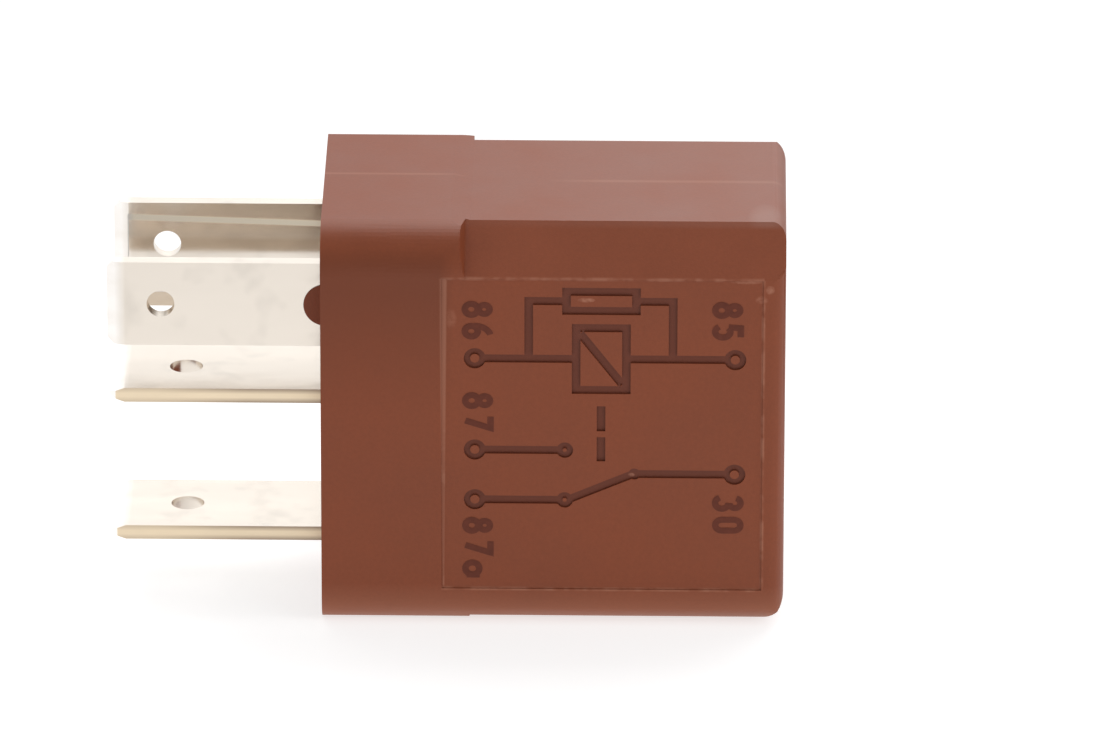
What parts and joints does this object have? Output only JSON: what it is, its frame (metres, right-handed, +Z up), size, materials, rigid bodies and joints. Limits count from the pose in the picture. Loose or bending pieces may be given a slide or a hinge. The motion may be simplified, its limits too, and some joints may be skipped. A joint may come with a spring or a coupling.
{
  "type": "automotive relay",
  "caption": "Plug-in micro changeover relay for a vehicle, brown plastic cap with an engraved circuit, flat blades and a coil with a resistor inside.",
  "frame": {"origin": "centre of the seating face, on the rim of the cap at the blade end", "axes": "+X from the seating face to the closed end, -Y out of the marked face, +Z up as the relay lies in the picture"},
  "size_m": [0.0366, 0.0154, 0.0228],
  "materials": {
    "housing": "satin",
    "tin_plate": "bright tin plating, cut edges showing brass",
    "iron": "zinc-plated iron",
    "bobbin_plastic": "satin",
    "copper_wire": "enamelled",
    "spring_bronze": "bright",
    "contact_silver": "bright",
    "resistor_lacquer": "gloss"
  },
  "bodies": {
    "relay_body": {"cap": "housing", "base_plate": "housing", "terminal_30": "tin_plate", "terminal_87": "tin_plate", "terminal_87a": "tin_plate", "terminal_85": "tin_plate", "terminal_86": "tin_plate", "yoke": "iron", "magnet_core": "iron", "coil_bobbin": "bobbin_plastic", "coil_winding": "copper_wire", "coil_leads": "copper_wire", "fixed_contact_87": "contact_silver", "fixed_contact_87a": "contact_silver", "suppression_resistor": "resistor_lacquer", "resistor_leads": "tin_plate"},
    "armature_group": {"armature": "iron", "contact_spring": "spring_bronze", "spring_rivets": "iron", "moving_contact": "contact_silver"}
  },
  "joints": [
    {"name": "armature_hinge", "type": "hinge", "parent": "relay_body", "child": "armature_group", "pos_m": [0.01917, 0, 0.0097], "axis": [0, 1, 0], "range_deg": [0, 2.2], "stiffness_Nm_per_rad": 0.015, "springref_deg": -3.44}
  ]
}
